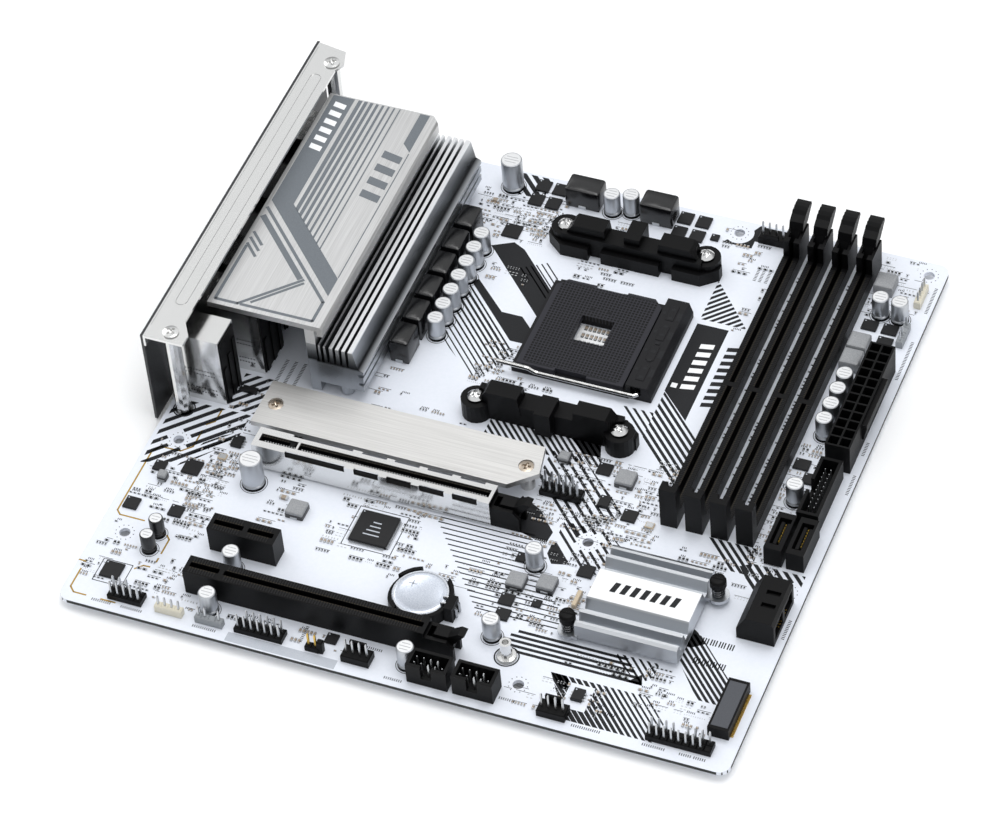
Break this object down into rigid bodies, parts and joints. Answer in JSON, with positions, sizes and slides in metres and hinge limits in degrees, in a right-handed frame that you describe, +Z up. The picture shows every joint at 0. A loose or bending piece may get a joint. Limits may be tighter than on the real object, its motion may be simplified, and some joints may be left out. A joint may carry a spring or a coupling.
{
  "type": "motherboard",
  "caption": "White micro-ATX computer motherboard with processor socket, memory and card slots, finned heatsinks and rear connectors.",
  "frame": {"origin": "middle of the bounding box, on the plane of the lowest underside pieces", "axes": "+X from the rear connectors to the front edge, +Y from the header edge to the top edge, +Z up out of the component side"},
  "size_m": [0.248, 0.249, 0.0442],
  "materials": {
    "white_laminate": "semi-matt white solder mask over glass laminate",
    "black_plastic": "moulded, fine grain",
    "socket_plastic": "moulded, dark grey",
    "brushed_aluminium": "brushed along one axis, clear anodised",
    "heatsink_aluminium": "extruded, clear anodised",
    "nickel_steel": "bright nickel plate",
    "dark_steel": "satin dark coating",
    "coin_steel": "polished stainless, finely turned"
  },
  "bodies": {
    "board": {"circuit_board": "white_laminate", "audio_jack_stack": "nickel_steel", "usb_lan_stack": "nickel_steel", "usb_stack_lower": "nickel_steel", "usb_stack_upper": "nickel_steel", "video_port_stack": "nickel_steel", "keyboard_usb_stack": "nickel_steel", "shield_bracket": "nickel_steel", "shield_post_1": "nickel_steel", "shield_post_2": "nickel_steel", "shield_screw_1": "nickel_steel", "shield_screw_2": "nickel_steel", "heatsink_screw_1": "nickel_steel", "heatsink_screw_2": "nickel_steel", "bracket_screw_1": "nickel_steel", "bracket_screw_2": "nickel_steel", "bracket_screw_3": "nickel_steel", "bracket_screw_4": "nickel_steel", "card_slot_sleeve": "nickel_steel", "storage_screw_1": "nickel_steel", "storage_screw_2": "nickel_steel", "storage_standoff": "nickel_steel", "rear_shield_plate": "dark_steel", "cpu_backplate": "dark_steel", "regulator_heatsink": "heatsink_aluminium", "chipset_heatsink": "heatsink_aluminium", "regulator_cover": "brushed_aluminium", "storage_heatsink_plate": "brushed_aluminium", "cpu_socket_base": "socket_plastic", "cooler_bracket_lower": "black_plastic", "cooler_bracket_upper": "black_plastic", "memory_slot_1": "black_plastic", "memory_slot_2": "black_plastic", "memory_slot_3": "black_plastic", "memory_slot_4": "black_plastic", "card_slot_lower": "black_plastic", "card_slot_short": "black_plastic", "card_slot_upper": "black_plastic", "storage_socket_upper": "black_plastic", "storage_socket_lower": "black_plastic", "chipset_push_pin_1": "black_plastic", "chipset_push_pin_2": "black_plastic", "battery_holder": "black_plastic", "main_power_connector": "black_plastic", "processor_power_connector": "black_plastic", "front_usb_header": "black_plastic", "boxed_usb_header_1": "black_plastic", "boxed_usb_header_2": "black_plastic", "upright_drive_port_1": "black_plastic", "upright_drive_port_2": "black_plastic", "angled_drive_ports": "black_plastic", "coin_cell": "coin_steel"},
    "memory_latch_1": {"memory_latch_1": "black_plastic"},
    "memory_latch_2": {"memory_latch_2": "black_plastic"},
    "memory_latch_3": {"memory_latch_3": "black_plastic"},
    "memory_latch_4": {"memory_latch_4": "black_plastic"},
    "card_latch_lower": {"card_latch_lower": "black_plastic"},
    "card_latch_upper": {"card_latch_upper": "black_plastic"},
    "socket_lever": {"cpu_socket_lever": "nickel_steel"},
    "socket_cover": {"cpu_socket_cover": "socket_plastic"}
  },
  "joints": [
    {"name": "memory_latch_1_pivot", "type": "hinge", "parent": "board", "child": "memory_latch_1", "pos_m": [0.06923, 0.1079, 0.00807], "axis": [-1, 0, 0], "range_deg": [0, 28]},
    {"name": "memory_latch_2_pivot", "type": "hinge", "parent": "board", "child": "memory_latch_2", "pos_m": [0.07843, 0.1079, 0.00807], "axis": [-1, 0, 0], "range_deg": [0, 28]},
    {"name": "memory_latch_3_pivot", "type": "hinge", "parent": "board", "child": "memory_latch_3", "pos_m": [0.08763, 0.1079, 0.00807], "axis": [-1, 0, 0], "range_deg": [0, 28]},
    {"name": "memory_latch_4_pivot", "type": "hinge", "parent": "board", "child": "memory_latch_4", "pos_m": [0.09683, 0.1079, 0.00807], "axis": [-1, 0, 0], "range_deg": [0, 28]},
    {"name": "card_latch_lower_pivot", "type": "hinge", "parent": "board", "child": "card_latch_lower", "pos_m": [0.01668, -0.10481, 0.00707], "axis": [0, 1, 0], "range_deg": [0, 18]},
    {"name": "card_latch_upper_pivot", "type": "hinge", "parent": "board", "child": "card_latch_upper", "pos_m": [0.01668, -0.04385, 0.00707], "axis": [0, 1, 0], "range_deg": [0, 18]},
    {"name": "socket_lever_pivot", "type": "hinge", "parent": "board", "child": "socket_lever", "pos_m": [0.03858, 0.0455, 0.00757], "axis": [0, 1, 0], "range_deg": [0, 90]},
    {"name": "socket_cover_slide", "type": "slide", "parent": "board", "child": "socket_cover", "axis": [-1, 0, 0], "range_m": [0, 0.001]}
  ],
  "couplings": [
    {"joint": "socket_cover_slide", "follows": "socket_lever_pivot", "m_per_rad": 0.0006366}
  ]
}
